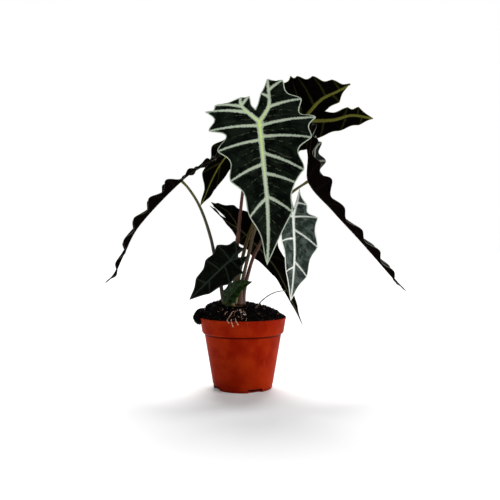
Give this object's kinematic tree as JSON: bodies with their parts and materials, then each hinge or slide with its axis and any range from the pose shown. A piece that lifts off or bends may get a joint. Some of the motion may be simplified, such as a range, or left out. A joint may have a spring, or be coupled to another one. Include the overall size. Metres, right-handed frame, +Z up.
{
  "type": "potted alocasia",
  "caption": "Arrow-shaped dark leaves with pale veins on long stalks, growing from a crown in soil in a tapered plastic nursery pot.",
  "frame": {"origin": "centre of the pot's base, on the surface that the pot stands on", "axes": "+Z up along the pot's axis, -Y towards the side that the large front leaf faces, +X to the right seen from there"},
  "size_m": [0.4156, 0.2259, 0.4477],
  "materials": {
    "pot_plastic": "satin",
    "soil_peat": "crumbly, matt",
    "crown_stem": "rough skin",
    "leaf_tissue": "waxy, semi-gloss",
    "petiole_tissue": "smooth, satin",
    "sheath_papery": "dry, matt",
    "new_leaf_green": "smooth, satin",
    "thin_shoot_tissue": "dry, matt",
    "root_tissue": "matt",
    "bark": "rough, matt",
    "perlite": "rough, matt"
  },
  "bodies": {
    "root": {"bark_chip_1": "bark", "bark_chip_2": "bark", "bark_chip_3": "bark", "bark_chip_4": "bark", "crown": "crown_stem", "leaf_front": "leaf_tissue", "leaf_left_long": "leaf_tissue", "leaf_low_back": "leaf_tissue", "leaf_lower_left": "leaf_tissue", "leaf_right_long": "leaf_tissue", "leaf_right_small": "leaf_tissue", "leaf_upper_back": "leaf_tissue", "leaf_young": "leaf_tissue", "nursery_pot": "pot_plastic", "perlite_grain_1": "perlite", "perlite_grain_2": "perlite", "perlite_grain_3": "perlite", "perlite_grain_4": "perlite", "petiole_front": "petiole_tissue", "petiole_left_long": "petiole_tissue", "petiole_low_back": "petiole_tissue", "petiole_lower_left": "petiole_tissue", "petiole_right_long": "petiole_tissue", "petiole_right_small": "petiole_tissue", "petiole_upper_back": "petiole_tissue", "petiole_young": "petiole_tissue", "potting_soil": "soil_peat", "rolled_new_leaf": "new_leaf_green", "sheath_back": "sheath_papery", "sheath_front": "sheath_papery", "sheath_right": "sheath_papery", "spilled_soil": "soil_peat", "surface_root_1": "root_tissue", "surface_root_2": "root_tissue", "surface_root_3": "root_tissue", "thin_shoot": "thin_shoot_tissue"}
  },
  "joints": []
}
